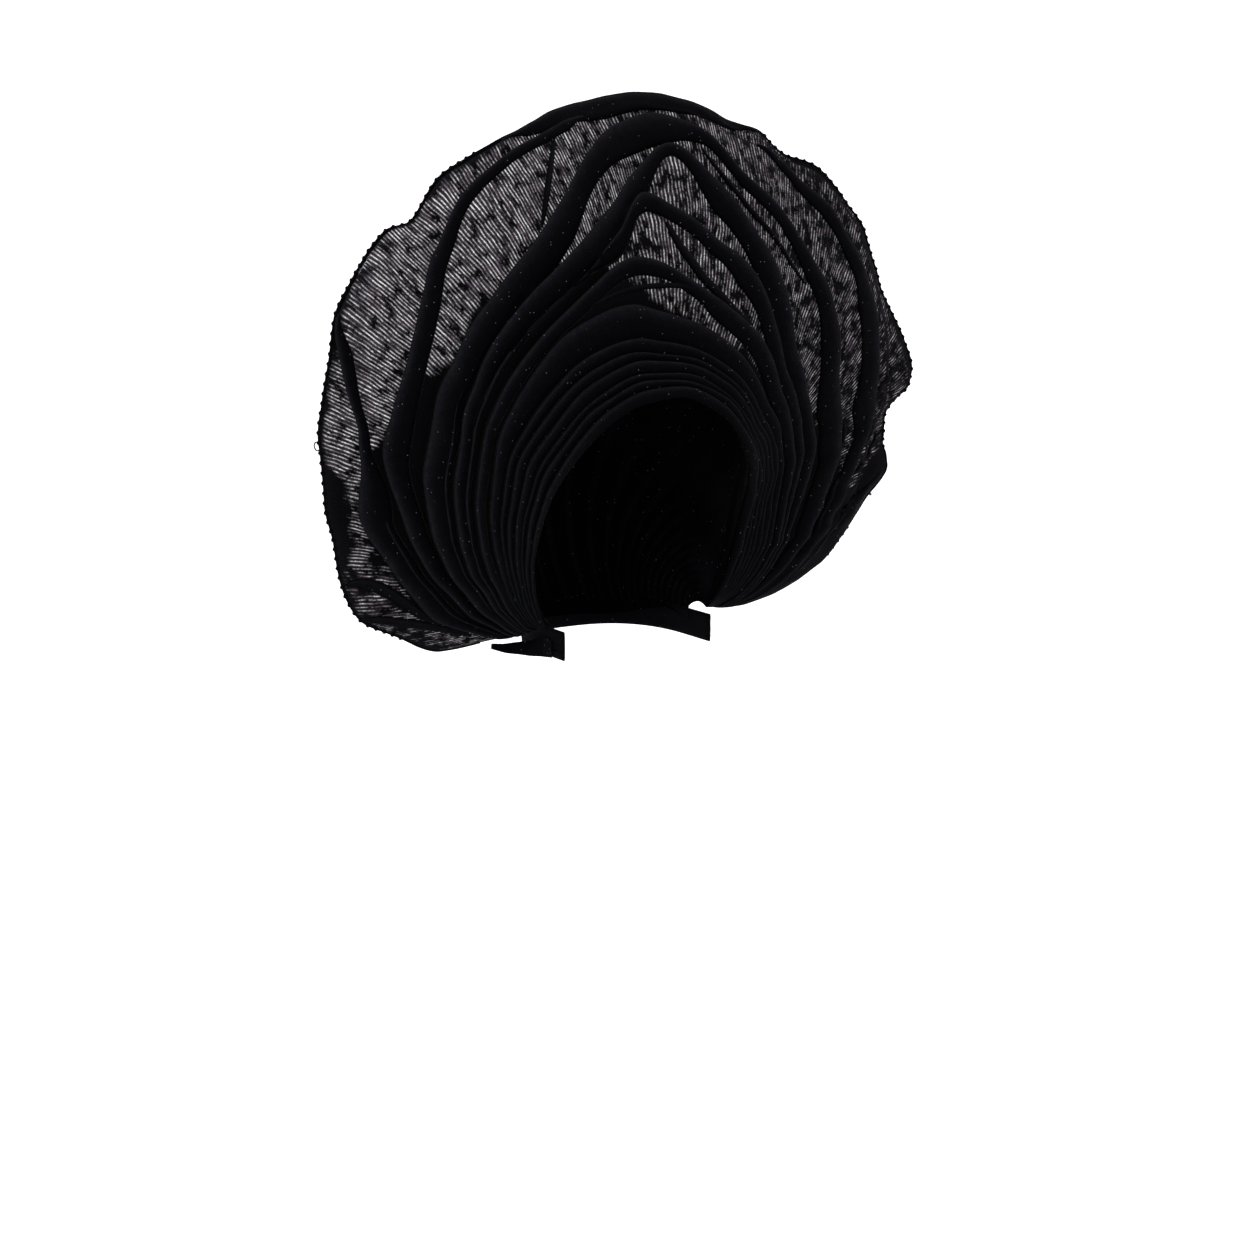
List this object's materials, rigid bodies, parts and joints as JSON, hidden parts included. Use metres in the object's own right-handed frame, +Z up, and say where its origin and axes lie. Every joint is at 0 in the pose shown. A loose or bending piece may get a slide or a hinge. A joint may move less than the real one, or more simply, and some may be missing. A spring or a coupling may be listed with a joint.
{
  "type": "tied gele head tie",
  "caption": "Tied gele head tie in black openwork cloth: a wide pleated fan rises from narrow pleats round the face, with a close cap, a nape band and a back knot.",
  "frame": {"origin": "where the crown of the wearer's head meets the inside of the cap", "axes": "+Z up, the wearer faces -Y, the wearer's right side is at -X"},
  "size_m": [0.4551, 0.194, 0.3634],
  "materials": {
    "black_cloth": "matte",
    "pin_wire": "satin",
    "pin_head": "gloss"
  },
  "bodies": {
    "root": {"front_wrap": "black_cloth", "fan": "black_cloth", "crown_cap": "black_cloth", "nape_band": "black_cloth", "tie_knot": "black_cloth", "tie_tail": "black_cloth", "loop_pin": "pin_wire", "ball_pin": "pin_head"}
  },
  "joints": []
}
